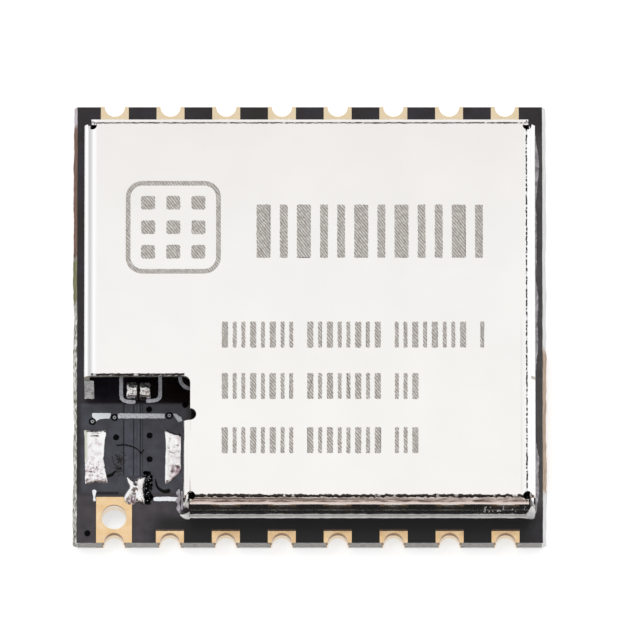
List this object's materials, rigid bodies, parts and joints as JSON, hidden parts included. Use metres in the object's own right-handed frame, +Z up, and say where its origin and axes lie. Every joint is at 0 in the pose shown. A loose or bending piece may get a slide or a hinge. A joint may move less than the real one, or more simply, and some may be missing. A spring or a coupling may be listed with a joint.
{
  "type": "radio module",
  "caption": "Flat surface-mount radio module: black circuit board with gold half-hole terminals along two edges, under a bright folded shield can with one open corner.",
  "frame": {"origin": "middle of the module's footprint, at the lowest face of the solder pads", "axes": "+X along the two rows of terminals, +Y from the row with the antenna terminal to the other row, +Z up from the host board through the can"},
  "size_m": [0.017, 0.016, 0.0032],
  "materials": {
    "solder_mask": "semi-gloss black solder mask over glass-fibre laminate",
    "gold_plating": "thin immersion gold over nickel and copper",
    "tinned_sheet": "bright tinned sheet with a fine satin face",
    "solder": "frozen bright solder, wrinkled in places",
    "ceramic": "matt fired ceramic",
    "moulding": "matt black moulding compound",
    "silkscreen": "thin white screen print",
    "laser_mark": "matt grey laser-hatched marks on the can",
    "raw_laminate": "rough snapped edge of glass-fibre laminate"
  },
  "bodies": {
    "root": {"antenna_switch": "moulding", "bias_resistor_1": "moulding", "bias_resistor_2": "moulding", "bias_resistor_3": "moulding", "bias_resistor_4": "moulding", "can_solder_corner": "solder", "can_solder_front": "solder", "can_solder_left": "solder", "can_solder_notch": "solder", "can_solder_right": "solder", "circuit_board": "solder_mask", "crystal_base": "ceramic", "crystal_lid": "tinned_sheet", "decoupling_capacitor_1": "ceramic", "decoupling_capacitor_2": "ceramic", "decoupling_capacitor_3": "ceramic", "decoupling_capacitor_4": "ceramic", "ground_solder_left": "solder", "ground_solder_right": "solder", "matching_inductor_1": "ceramic", "matching_inductor_2": "ceramic", "matching_inductor_3": "ceramic", "matching_inductor_4": "ceramic", "matching_inductor_5": "ceramic", "matching_inductor_6": "ceramic", "mouth_capacitor_body": "ceramic", "mouth_capacitor_left_cap": "solder", "mouth_capacitor_right_cap": "solder", "power_inductor": "moulding", "shield_can": "tinned_sheet", "signal_solder": "solder", "supply_capacitor_1": "ceramic", "supply_capacitor_2": "ceramic", "supply_capacitor_3": "ceramic", "terminal_01": "gold_plating", "terminal_02": "gold_plating", "terminal_03": "gold_plating", "terminal_04": "gold_plating", "terminal_05": "gold_plating", "terminal_06": "gold_plating", "terminal_07": "gold_plating", "terminal_08": "gold_plating", "terminal_09": "gold_plating", "terminal_10": "gold_plating", "terminal_11": "gold_plating", "terminal_12": "gold_plating", "terminal_13": "gold_plating", "terminal_14": "gold_plating", "terminal_15": "gold_plating", "terminal_16": "gold_plating", "transceiver_chip": "moulding", "transceiver_ground_pad": "solder"}
  },
  "joints": []
}
